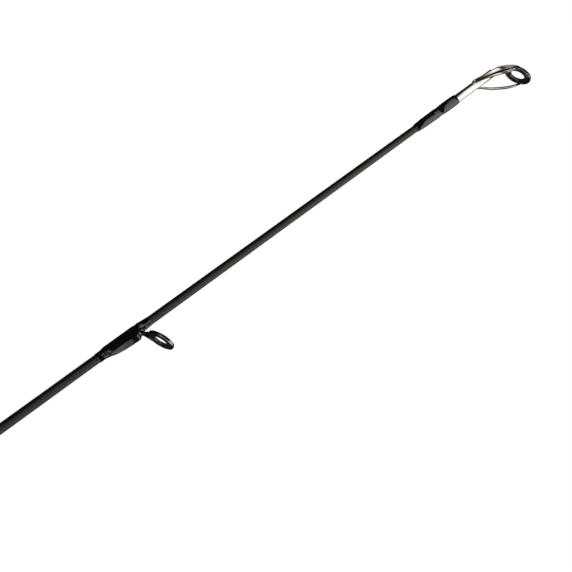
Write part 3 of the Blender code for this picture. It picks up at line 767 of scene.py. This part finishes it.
def add_double_foot_guide(name, hole_share, tilt):
    ring = Ring(name + "_ring", tilt)
    low, high = span(name + "_frame")
    frame_radius = (high.y - low.y) / 2
    z, height = ring.centre.z, ring.centre.x
    thick = 0.85 + 0.02 * frame_radius
    half_width = 1.15 + 0.05 * frame_radius
    front_heel, back_heel = z + FRONT_HEEL_SHARE * height, z - BACK_HEEL_SHARE * height
    front_toe, back_toe = front_heel + DOUBLE_FOOT, back_heel - DOUBLE_FOOT
    across = (0, 1, 0)

    rim = ring.point(frame_radius - 0.25, math.pi, 0)
    core = blank_radius(front_heel)
    knee = Vector((core + GAP + thick * 1.2, 0, front_heel - thick * 0.8))
    front = foot_stations(core, front_heel + 0.5, front_toe, half_width, thick)
    front += [
        (knee, across, half_width, thick * 0.5),
        (knee.lerp(rim, 0.15), across, half_width, thick * 0.5),
        (knee.lerp(rim, 0.6), across, half_width, thick * 0.5),
        (rim, across, half_width * 1.4, thick * 0.5),
    ]
    body = add_solid(name + "_frame_shape", sweep(front))

    core = blank_radius(back_toe)
    for side in (-1, 1):
        rim = ring.point(frame_radius - 0.3, side * math.radians(BRACE_ANGLE), 0)
        half = side * half_width * 0.5
        knee = Vector((core + GAP + thick * 1.2, half, back_heel + thick * 0.8))
        # The two feet overlap and differ in height by a hair, so that none of their faces share a plane.
        foot = foot_stations(core + 0.01 * side, back_heel - 0.5, back_toe, half_width * 0.53, thick)
        brace = [((x, half, at), axis, wide, deep) for (x, _, at), axis, wide, deep in foot]
        brace += [
            (knee, across, half_width * 0.45, thick * 0.45),
            (knee.lerp(rim, 0.1), across, half_width * 0.44, thick * 0.44),
            (knee.lerp(rim, 0.5), across, half_width * 0.42, thick * 0.42),
            (rim, across, half_width * 0.5, thick * 0.42),
        ]
        combine(body, sweep(brace), "UNION")
    combine(body, holder_shape(ring, frame_radius), "UNION")
    combine(body, ring.seat(), "DIFFERENCE")
    # The frame is polished steel; its darker colour is painted shade for the dark surroundings it mirrors
    dress(body, name + "_frame", "stainless", look="shade_darkened_steel")
    add_insert(name + "_ring", ring, hole_share)
    for label, heel, toe in (("_front_wrap", front_heel, front_toe), ("_back_wrap", back_heel, back_toe)):
        wrap = foot_wrap_shape(heel, toe, half_width, thick, DOUBLE_COVER, DOUBLE_NOSE)
        add_piece(name + label, "thread_epoxy", wrap)


def add_guides():
    for name, (hole_share, tilt, double) in GUIDES.items():
        build = add_double_foot_guide if double else add_single_foot_guide
        build(name, hole_share, tilt)


# ---------------------------------------------------------------- tip-top


def arm_section(half_width, half_thick):
    """A pressed arm: a broad flat on its outer face, and a bead along the edge away from the rod.

    A negative half_thick turns the section over, for the arm on the other side.
    """
    w, t = half_width, half_thick
    edge = 0.5 * abs(t)
    outline = [
        (-w, -0.5 * t, edge),
        (-0.9 * w, 0.45 * t, edge),
        (-0.1 * w, 0.1 * t, 0.3 * edge),
        (0.38 * w, t, 0.5 * edge),
        (0.86 * w, 0.9 * t, edge),
        (w, 0, edge),
        (0.86 * w, -0.9 * t, edge),
        (-0.85 * w, -t, 0.6 * edge),
    ]
    return rounded(outline, 3)


def tip_arm(ring, side):
    """One of the two arms, from the side of the tube to the rim of the ring."""
    z0 = ring.centre.z
    across = (0.743, -0.669 * side, 0)
    # Stations: centre with z from the ring's centre, half width, and half thickness
    path = [
        ((-0.30, 1.22, -10.05), 0.14, 0.12),
        ((-0.20, 1.25, -9.8), 0.36, 0.24),
        ((0.05, 1.35, -9.2), 0.50, 0.32),
        ((0.45, 1.58, -8.6), 0.55, 0.32),
        ((1.05, 2.00, -7.8), 0.58, 0.32),
        ((1.75, 2.45, -6.8), 0.68, 0.34),
        ((2.85, 3.05, -5.0), 0.92, 0.34),
        ((3.80, 3.38, -3.4), 1.08, 0.34),
        ((4.70, 3.46, -1.9), 1.02, 0.30),
        ((5.30, 3.36, -0.7), 0.80, 0.24),
        ((5.75, 3.26, 0.1), 0.55, 0.20),
        ((6.15, 3.14, 0.7), 0.30, 0.15),
        ((6.35, 3.06, 1.0), 0.12, 0.10),
    ]
    return [((x, side * y, z0 + z), across, wide, thick * side) for (x, y, z), wide, thick in path]


def add_tip_top():
    ring = Ring("tip_top_ring", TIP_RING_TILT)
    low, high = span("tip_top_tube")
    tube_radius = high.x
    bore = tip_radius(low.z) + GAP
    outline = [
        (0.02, high.z, 0),
        (0.3, high.z, 0.1),
        (tube_radius, high.z, 0.72),
        (tube_radius, low.z, 0.1),
        (bore, low.z, 0),
        (bore, BLANK_END + 0.1, 0.2),
        (0.02, BLANK_END + 0.1, 0),
    ]
    add_piece("tip_top_tube", "stainless", plug(rounded(outline, 6)))

    body = add_solid("tip_top_frame_shape", holder_shape(ring, TIP_FRAME_RADIUS))
    for side in (-1, 1):
        combine(body, sweep(tip_arm(ring, side), arm_section), "UNION")
    combine(body, ring.seat(), "DIFFERENCE")
    dress(body, "tip_top_frame", "stainless")
    # Painted shade: the faces of the holder round the ring take the darkened steel, while the arms keep the
    # bright steel of the same part
    body.data.materials.append(LOOKS["shade_darkened_steel"])
    shaded_radius, shaded_depth = TIP_FRAME_RADIUS + 0.02, 0.4
    for face in body.data.polygons:
        offset = face.center / MM - ring.centre
        depth = offset.dot(ring.axis)
        if (offset - ring.axis * depth).length < shaded_radius and abs(depth) < shaded_depth:
            face.material_index = 1
    add_insert("tip_top_ring", ring, TIP_HOLE_SHARE)

    start, end = (corner.z for corner in span("tip_top_wrap"))
    core, on_tube = tip_radius(start), tube_radius
    profile = [
        (core + 0.02, start),
        (core + 0.16, start + 0.5),
        (core + 0.30, start + 2.4),
        (core + 0.34, low.z - 2.4),
        (core + 0.36, low.z - 1.2),
        (on_tube + 0.16, low.z - 0.2),
        (on_tube + 0.27, low.z + 1.2),
        (on_tube + 0.29, low.z + 2.8),
        (on_tube + 0.26, end - 1.0),
        (on_tube + 0.18, end - 0.3),
        (on_tube + 0.02, end),
    ]
    outline = spline(profile, 5)
    outline += [(on_tube + 0.01, low.z - 0.05), (core + 0.01, low.z - 0.1), (core + 0.01, start)]
    add_piece("tip_top_wrap", "thread_epoxy", turned(outline))


# ---------------------------------------------------------------- handle


def add_wrap(node, thickness):
    """A plain thread band with domed ends."""
    low, high = span(node)
    start, end = low.z, high.z
    under = high.x - thickness
    ramp = min(2.2, 0.25 * (end - start))
    profile = [
        (under + 0.03, start),
        (under + 0.6 * thickness, start + 0.25 * ramp),
        (under + thickness, start + ramp),
        (under + thickness, (start + end) / 2),
        (under + thickness, end - ramp),
        (under + 0.6 * thickness, end - 0.25 * ramp),
        (under + 0.03, end),
    ]
    inner = [(under - 0.02, end), (under - 0.02, start)]
    add_piece(node, "thread_epoxy", turned(spline(profile) + inner))


def add_grip(node, outline):
    """A turned foam grip from (share of its length, radius), with small rounded ends."""
    low, high = span(node)
    length = high.z - low.z
    bore = butt_radius(low.z) + GAP
    curve = spline([(radius, low.z + share * length) for share, radius in outline], 10)
    add_piece(node, "eva_foam", turned(curve + [(bore, high.z), (bore, low.z)]))


def add_trim(node):
    """A turned metal ring with a groove round its middle."""
    low, high = span(node)
    radius = high.x
    bore = butt_radius(low.z) + GAP
    centre = (low.z + high.z) / 2
    outline = [
        (bore, low.z, 0),
        (radius, low.z, 0.5),
        (radius, centre - 0.35, 0.1),
        (radius - 0.35, centre - 0.2, 0.1),
        (radius - 0.35, centre + 0.2, 0.1),
        (radius, centre + 0.35, 0.1),
        (radius, high.z, 0.5),
        (bore, high.z, 0),
    ]
    add_piece(node, "trim_metal", turned(rounded(outline)))


def add_butt_cap():
    low, high = span("butt_cap")
    radius = high.x - 0.2
    wall = butt_radius(BLANK_START) + GAP
    outline = [(12.0, low.z, 0), (12.9, low.z, 0.6), (14.2, 1.2, 0.8), (radius + 0.2, 3.2, 0.8)]
    for groove in (5.4, 7.6, 9.8):
        outline += [(radius, groove - 0.5, 0.15), (radius - 0.6, groove - 0.3, 0.15)]
        outline += [(radius - 0.6, groove + 0.3, 0.15), (radius, groove + 0.5, 0.15)]
    outline += [(radius, high.z, 0.5), (wall, high.z, 0), (wall, BLANK_START - GAP, 0)]
    add_piece("butt_cap", "cap_rubber", plug(rounded(outline)))


def add_keeper():
    """The hook keeper's wire loop and the wrap that binds it."""
    low, high = span("hook_keeper")
    wire = 0.45
    base, top = high.y - 0.1, low.y + wire
    start, end = low.z + wire, high.z - wire
    path = [
        (base, start),
        (0.55 * base + 0.45 * top, start),
        (0.2 * base + 0.8 * top, start + 0.5),
        (top, start + 1.9),
        (top, end - 1.9),
        (0.2 * base + 0.8 * top, end - 0.5),
        (0.55 * base + 0.45 * top, end),
        (base, end),
    ]
    stations = [((0, y, z), (1, 0, 0), wire, wire) for y, z in path]
    add_piece("hook_keeper", "stainless", sweep(stations, wire_section))
    add_wrap("keeper_wrap", 0.9)


def add_handle():
    add_butt_cap()
    rear = [(0, 14.2), (0.01, 14.6), (0.12, 14.7), (0.4, 13.6), (0.7, 12.2), (0.97, 11.5), (1, 10.9)]
    seat_rear = [(0, 9.5), (0.03, 10.1), (0.2, 10.4), (0.6, 10.6), (0.95, 10.9), (1, 10.4)]
    fore = [(0, 11.0), (0.02, 11.6), (0.12, 12.0), (0.3, 12.05), (0.6, 11.0), (0.96, 8.8), (1, 8.1)]
    add_grip("rear_grip", rear)
    add_grip("seat_rear_grip", seat_rear)
    add_grip("fore_grip", fore)
    for node in ("rear_grip_trim", "seat_grip_trim", "winding_check"):
        add_trim(node)
    add_wrap("rear_split_wrap", 0.5)
    add_wrap("front_split_wrap", 0.5)
    add_wrap("ferrule_wrap", 0.45)
    add_keeper()


# ---------------------------------------------------------------- reel seat

# The seat's thread, barrel, level place for the reel's foot, and pockets
THREAD_PITCH = 2.0
THREAD_DEPTH = 0.45
THREAD_START = 361.5
THREAD_END = 419.0
BARREL_RADIUS = 8.6
SEAT_BORE = 6.6
FOOT_FLAT_X = 7.6
HOOD_OFFSET = 3.2
POCKET_TOP_X = 11.4
POCKET_HALF_WIDTH = 6.6
CLEAR = 5.0  # how far a cutting solid stands out past what it cuts


def add_reel_seat():
    """The barrel: a moulded fixed pocket, the flat for the reel's foot, and a real thread for the nut."""
    low, high = span("reel_seat")
    hood_end = span("fixed_hood")[1].z + 1.2

    def barrel_radius(radius, angle, z):
        if radius < BARREL_RADIUS - 1.0:
            return radius
        if THREAD_START < z < THREAD_END:
            fade = min(1.0, (z - THREAD_START) / 1.5, (THREAD_END - z) / 1.5)
            phase = (z / THREAD_PITCH - angle / TURN) % 1.0
            crest = min(1.0, max(0.0, 1.6 - 4.0 * abs(phase - 0.5)))
            radius = BARREL_RADIUS - 0.1 + fade * THREAD_DEPTH * (crest - 0.1)
        if hood_end < z < high.z - 1.4 and math.cos(angle) > 0.3:
            radius = min(radius, FOOT_FLAT_X / math.cos(angle))
        return radius

    shoulder = [(9.6, low.z), (10.6, low.z + 0.5), (10.95, low.z + 2.0), (11.0, low.z + 5.0)]
    shoulder += [(BARREL_RADIUS + 1.0, hood_end - 2.0), (BARREL_RADIUS, hood_end + 4.0)]
    plain_start = 328.0
    outside = spline(shoulder, 5)
    outside += [(BARREL_RADIUS, z) for z in levels(plain_start, THREAD_START - 0.5, 4.0)]
    outside += [(BARREL_RADIUS, z) for z in levels(THREAD_START, THREAD_END, THREAD_PITCH / 10)]
    outside += [(BARREL_RADIUS, high.z - 1.5), (BARREL_RADIUS, high.z - 1.35), (BARREL_RADIUS, high.z)]
    outline = outside + [(SEAT_BORE, high.z), (SEAT_BORE, low.z)]
    barrel = add_solid("reel_seat_shape", shaped(outline, barrel_radius))
    hood = [(9.4, low.z + 4.0), (10.7, low.z + 5.2), (11.15, low.z + 7.0), (11.15, hood_end)]
    combine(barrel, plug(hood, HOOD_OFFSET), "UNION")
    combine(barrel, plug([(SEAT_BORE, low.z - CLEAR), (SEAT_BORE, high.z + CLEAR)]), "DIFFERENCE")
    pocket_low = (FOOT_FLAT_X, -POCKET_HALF_WIDTH, low.z + 11.0)
    combine(barrel, block(pocket_low, (POCKET_TOP_X, POCKET_HALF_WIDTH, hood_end + CLEAR)), "DIFFERENCE")
    dress(barrel, "reel_seat", "seat_plastic")


def add_fixed_hood():
    low, high = span("fixed_hood")
    inner, past_shoulder, past_end = 11.2 + GAP, 11.1, 6.0
    outline = band_outline(inner, inner + 0.55, low.z, high.z, 0.3, 0.45)
    cover = add_solid("fixed_hood_shape", turned(outline, centre_x=HOOD_OFFSET))
    barrel = plug([(past_shoulder, low.z - past_end), (past_shoulder, high.z + past_end)])
    combine(cover, barrel, "DIFFERENCE")
    dress(cover, "fixed_hood", "stainless")


def add_sliding_hood():
    """The moulded hood that clamps the reel's foot, its collar for the nut, and its polished band."""
    low, high = span("sliding_hood")
    start, end, shoulder = low.z, high.z, high.z - 4.8
    bore, collar, shell_radius, bulge_radius = 9.1, 10.2, 10.9, 11.6
    shell = [
        (bore, start, 0.3),
        (shell_radius, start, 0.6),
        (shell_radius, shoulder, 0.4),
        (collar, shoulder, 0),
        (collar, end, 0.2),
        (bore, end, 0.2),
    ]
    hood = add_solid("sliding_hood_shape", turned(rounded(shell)))
    bulge = [(11.0, start), (bulge_radius, start + 0.8), (bulge_radius, shoulder - 4.5)]
    bulge += [(11.2, shoulder - 3.0), (10.2, shoulder - 1.2), (8.6, shoulder)]
    combine(hood, plug(bulge, HOOD_OFFSET), "UNION")
    combine(hood, plug([(bore, start - CLEAR), (bore, end + CLEAR)]), "DIFFERENCE")
    corner = (POCKET_TOP_X, POCKET_HALF_WIDTH, start + 16.0)
    combine(hood, block((4.0, -POCKET_HALF_WIDTH, start - CLEAR), corner), "DIFFERENCE")
    dress(hood, "sliding_hood", "seat_plastic")

    low, high = span("sliding_hood_band")
    inner, past_shell = bulge_radius + GAP, shell_radius + GAP
    outline = band_outline(inner, inner + 0.5, low.z, high.z, 0.35, 0.35)
    band = add_solid("sliding_hood_band_shape", turned(outline, centre_x=HOOD_OFFSET))
    combine(band, plug([(past_shell, low.z - CLEAR), (past_shell, high.z + CLEAR)]), "DIFFERENCE")
    dress(band, "sliding_hood_band", "stainless")


def add_locking_nut():
    """The nut's grip has flutes all round between two plain bands."""
    low, high = span("locking_nut")
    start, end = low.z, high.z
    radius, bore, skirt = 11.6, 9.2, 10.45
    flutes, flute_depth = 28, 0.7
    grip_start, grip_end = start + 4.0, end - 7.5

    def nut_radius(r, angle, z):
        if r < radius - 0.05:
            return r
        inside = min(1.0, max(0.0, (z - grip_start) / 1.5), max(0.0, (grip_end - z) / 1.5))
        hollow = max(0.0, math.cos(flutes * angle)) ** 0.8
        return r - flute_depth * inside * hollow

    outside = [(skirt + 0.4, start), (radius - 0.3, start + 0.25), (radius, start + 0.9)]
    outside += [(radius, z) for z in levels(grip_start - 0.5, grip_end + 0.5, 0.25)]
    outside += [(radius, end - 1.6), (radius - 0.2, end - 0.9), (radius - 1.0, end)]
    inside = [(bore, end), (bore, start + 5.0), (skirt, start + 4.9), (skirt, start)]
    add_piece("locking_nut", "seat_plastic", shaped(outside + inside, nut_radius, flutes * 8))

    low, high = span("locking_nut_trim")
    inner = radius + 0.03
    outline = band_outline(inner, inner + 0.4, low.z, high.z, 0.25, 0.25)
    add_piece("locking_nut_trim", "trim_metal", turned(outline))


def dress_hidden_nodes():
    """The arbors keep their CAD shape, since they show only through the ends of the seat."""
    for node in ("seat_arbor_rear", "seat_arbor_front"):
        solid = frame["nodes"][node]
        solid.data.materials.clear()
        solid.data.materials.append(LOOKS["arbor_foam"])


# ---------------------------------------------------------------- stage


def add_floor():
    """A plain pale floor, in metres, that the butt cap stands on. It runs on far into the distance."""
    radius, rings, sides = 60.0, 12, 64
    points, faces = [(0.0, 0.0, 0.0)], []
    for i in range(1, rings + 1):
        points += circle(radius * (i / rings) ** 2, 0, sides)
    for k in range(sides):
        faces.append((0, 1 + k, 1 + (k + 1) % sides))
    for i in range(rings - 1):
        a, b = 1 + i * sides, 1 + (i + 1) * sides
        faces += [(a + k, b + k, b + (k + 1) % sides, a + (k + 1) % sides) for k in range(sides)]
    mesh = bpy.data.meshes.new("floor")
    mesh.from_pydata(points, [], faces)
    floor = add_object("floor", mesh)
    material, nodes, feed, place = new_material("floor_pale", (0.86, 0.855, 0.845), 0.75)
    grain = nodes.noise(place, (0.02, 0.02, 0.02), 4.0)
    tint = nodes.mix(grain, (0.84, 0.835, 0.825), (0.88, 0.876, 0.868))
    feed("Base Color", tint)
    mesh.materials.append(material)
    floor.visible_glossy = False


def set_world():
    """A white studio for the eye and for matt surfaces.

    Polished pieces mirror a wide soft panel, a paler table and a strip of floor, with dark between them.
    """
    world = bpy.data.worlds.new("studio")
    bpy.context.scene.world = world
    world.use_nodes = True
    tree = world.node_tree
    tree.nodes.clear()
    nodes = Nodes(tree)
    direction = nodes.add("ShaderNodeTexCoord").outputs["Generated"]
    x, y, z = nodes.split(direction)
    degrees = nodes.math("MULTIPLY", nodes.math("ARCTAN2", y, x), 360 / TURN)
    share = nodes.fit(degrees, -180.0, 180.0, 0.0, 1.0)

    def around(points, scale=1.0):
        return nodes.ramp(share, [(turn / 360 + 0.5, (value / scale,) * 3) for turn, value in points])

    def band(near, near_soft, far_soft, far, rest=0.0):
        """Soft-edged light between two heights below the horizon. rest is what is left past the far one."""
        near_edge = nodes.fit(z, near, near_soft, 0.0, 1.0, smooth=True)
        far_edge = nodes.fit(z, far_soft, far, 1.0, rest, smooth=True)
        return nodes.math("MULTIPLY", near_edge, far_edge)

    above_low = nodes.math("SUBTRACT", z, around(PANEL_LOW))
    above_high = nodes.math("SUBTRACT", z, around(PANEL_HIGH))
    low_edge = nodes.fit(above_low, -0.02, 0.02, 0.0, 1.0, smooth=True)
    high_edge = nodes.fit(above_high, -0.05, 0.03, 1.0, 0.0, smooth=True)
    window = nodes.math("MULTIPLY", low_edge, high_edge)
    panel = nodes.math("MULTIPLY", around(PANEL_ACROSS, PANEL_LIGHT), window)
    table_band = band(-0.05, -0.12, -0.42, -0.58)
    table = nodes.math("MULTIPLY", table_band, around(TABLE_ACROSS, PANEL_LIGHT))
    floor_band = band(-0.62, -0.70, -0.78, -0.85, rest=0.2)
    floor = nodes.math("MULTIPLY", floor_band, around(FLOOR_ACROSS, PANEL_LIGHT))
    lit = nodes.math("ADD", panel, nodes.math("ADD", table, floor))
    light = nodes.math("MULTIPLY", lit, PANEL_LIGHT)

    def shade(kind, *values):
        """A shader node with its sockets fed in order."""
        node = nodes.add(kind)
        for socket, value in zip(node.inputs, values):
            nodes.feed(socket, value)
        return node.outputs[0]

    white = shade("ShaderNodeBackground", rgba((1.0, 1.0, 1.0)), 1.0)
    mirrored = shade("ShaderNodeBackground", rgba((1.0, 0.975, 0.93)), light)
    corners = shade("ShaderNodeBackground", rgba((0.014, 0.010, 0.007)), 1.0)
    path = nodes.add("ShaderNodeLightPath").outputs
    plain = nodes.math("MAXIMUM", path["Is Camera Ray"], path["Is Diffuse Ray"])
    sky = shade("ShaderNodeMixShader", plain, shade("ShaderNodeAddShader", mirrored, corners), white)
    nodes.feed(nodes.add("ShaderNodeOutputWorld").inputs["Surface"], sky)


def add_lights():
    """One broad soft sun for the floor's shadow. Polished pieces don't mirror it."""
    sun = bpy.data.lights.new("soft_sun", "SUN")
    sun.energy = 1.0
    sun.angle = math.radians(25)
    holder = add_object("soft_sun", sun)
    holder.rotation_euler = Vector((0.5, -0.35, 1.0)).to_track_quat("Z", "Y").to_euler()
    holder.visible_glossy = False


def add_camera():
    """Looks at the tip from the keeper side and slightly from the butt, half a metre off."""
    turn, tilt, roll = (math.radians(a) for a in (VIEW_TURN, VIEW_TILT, VIEW_ROLL))
    back = Vector((math.sin(turn) * math.cos(tilt), -math.cos(turn) * math.cos(tilt), -math.sin(tilt)))
    along = Vector((math.sin(tilt) * math.sin(turn), -math.sin(tilt) * math.cos(turn), math.cos(tilt)))
    aside = Vector((math.cos(turn), math.sin(turn), 0))
    right = along * math.cos(roll) + aside * math.sin(roll)
    up = along * math.sin(roll) - aside * math.cos(roll)
    tube_end = Vector((0, 0, span("tip_top_tube")[1].z))
    target = tube_end - along * VIEW_BACK + aside * VIEW_ASIDE
    place = (target + back * VIEW_DISTANCE) * MM
    lens = bpy.data.cameras.new("camera")
    lens.lens = lens.sensor_width * VIEW_DISTANCE / VIEW_WIDTH
    lens.clip_start = 0.01
    lens.clip_end = 200.0
    camera = add_object("camera", lens)
    axes = Matrix((right, up, back)).transposed()
    camera.matrix_world = Matrix.Translation(place) @ axes.to_4x4()
    bpy.context.scene.camera = camera


# ---------------------------------------------------------------- all of it

add_blanks()
add_guides()
add_tip_top()
add_handle()
add_reel_seat()
add_fixed_hood()
add_sliding_hood()
add_locking_nut()
dress_hidden_nodes()
add_floor()
set_world()
add_lights()
add_camera()
bpy.context.scene.view_settings.view_transform = "Standard"
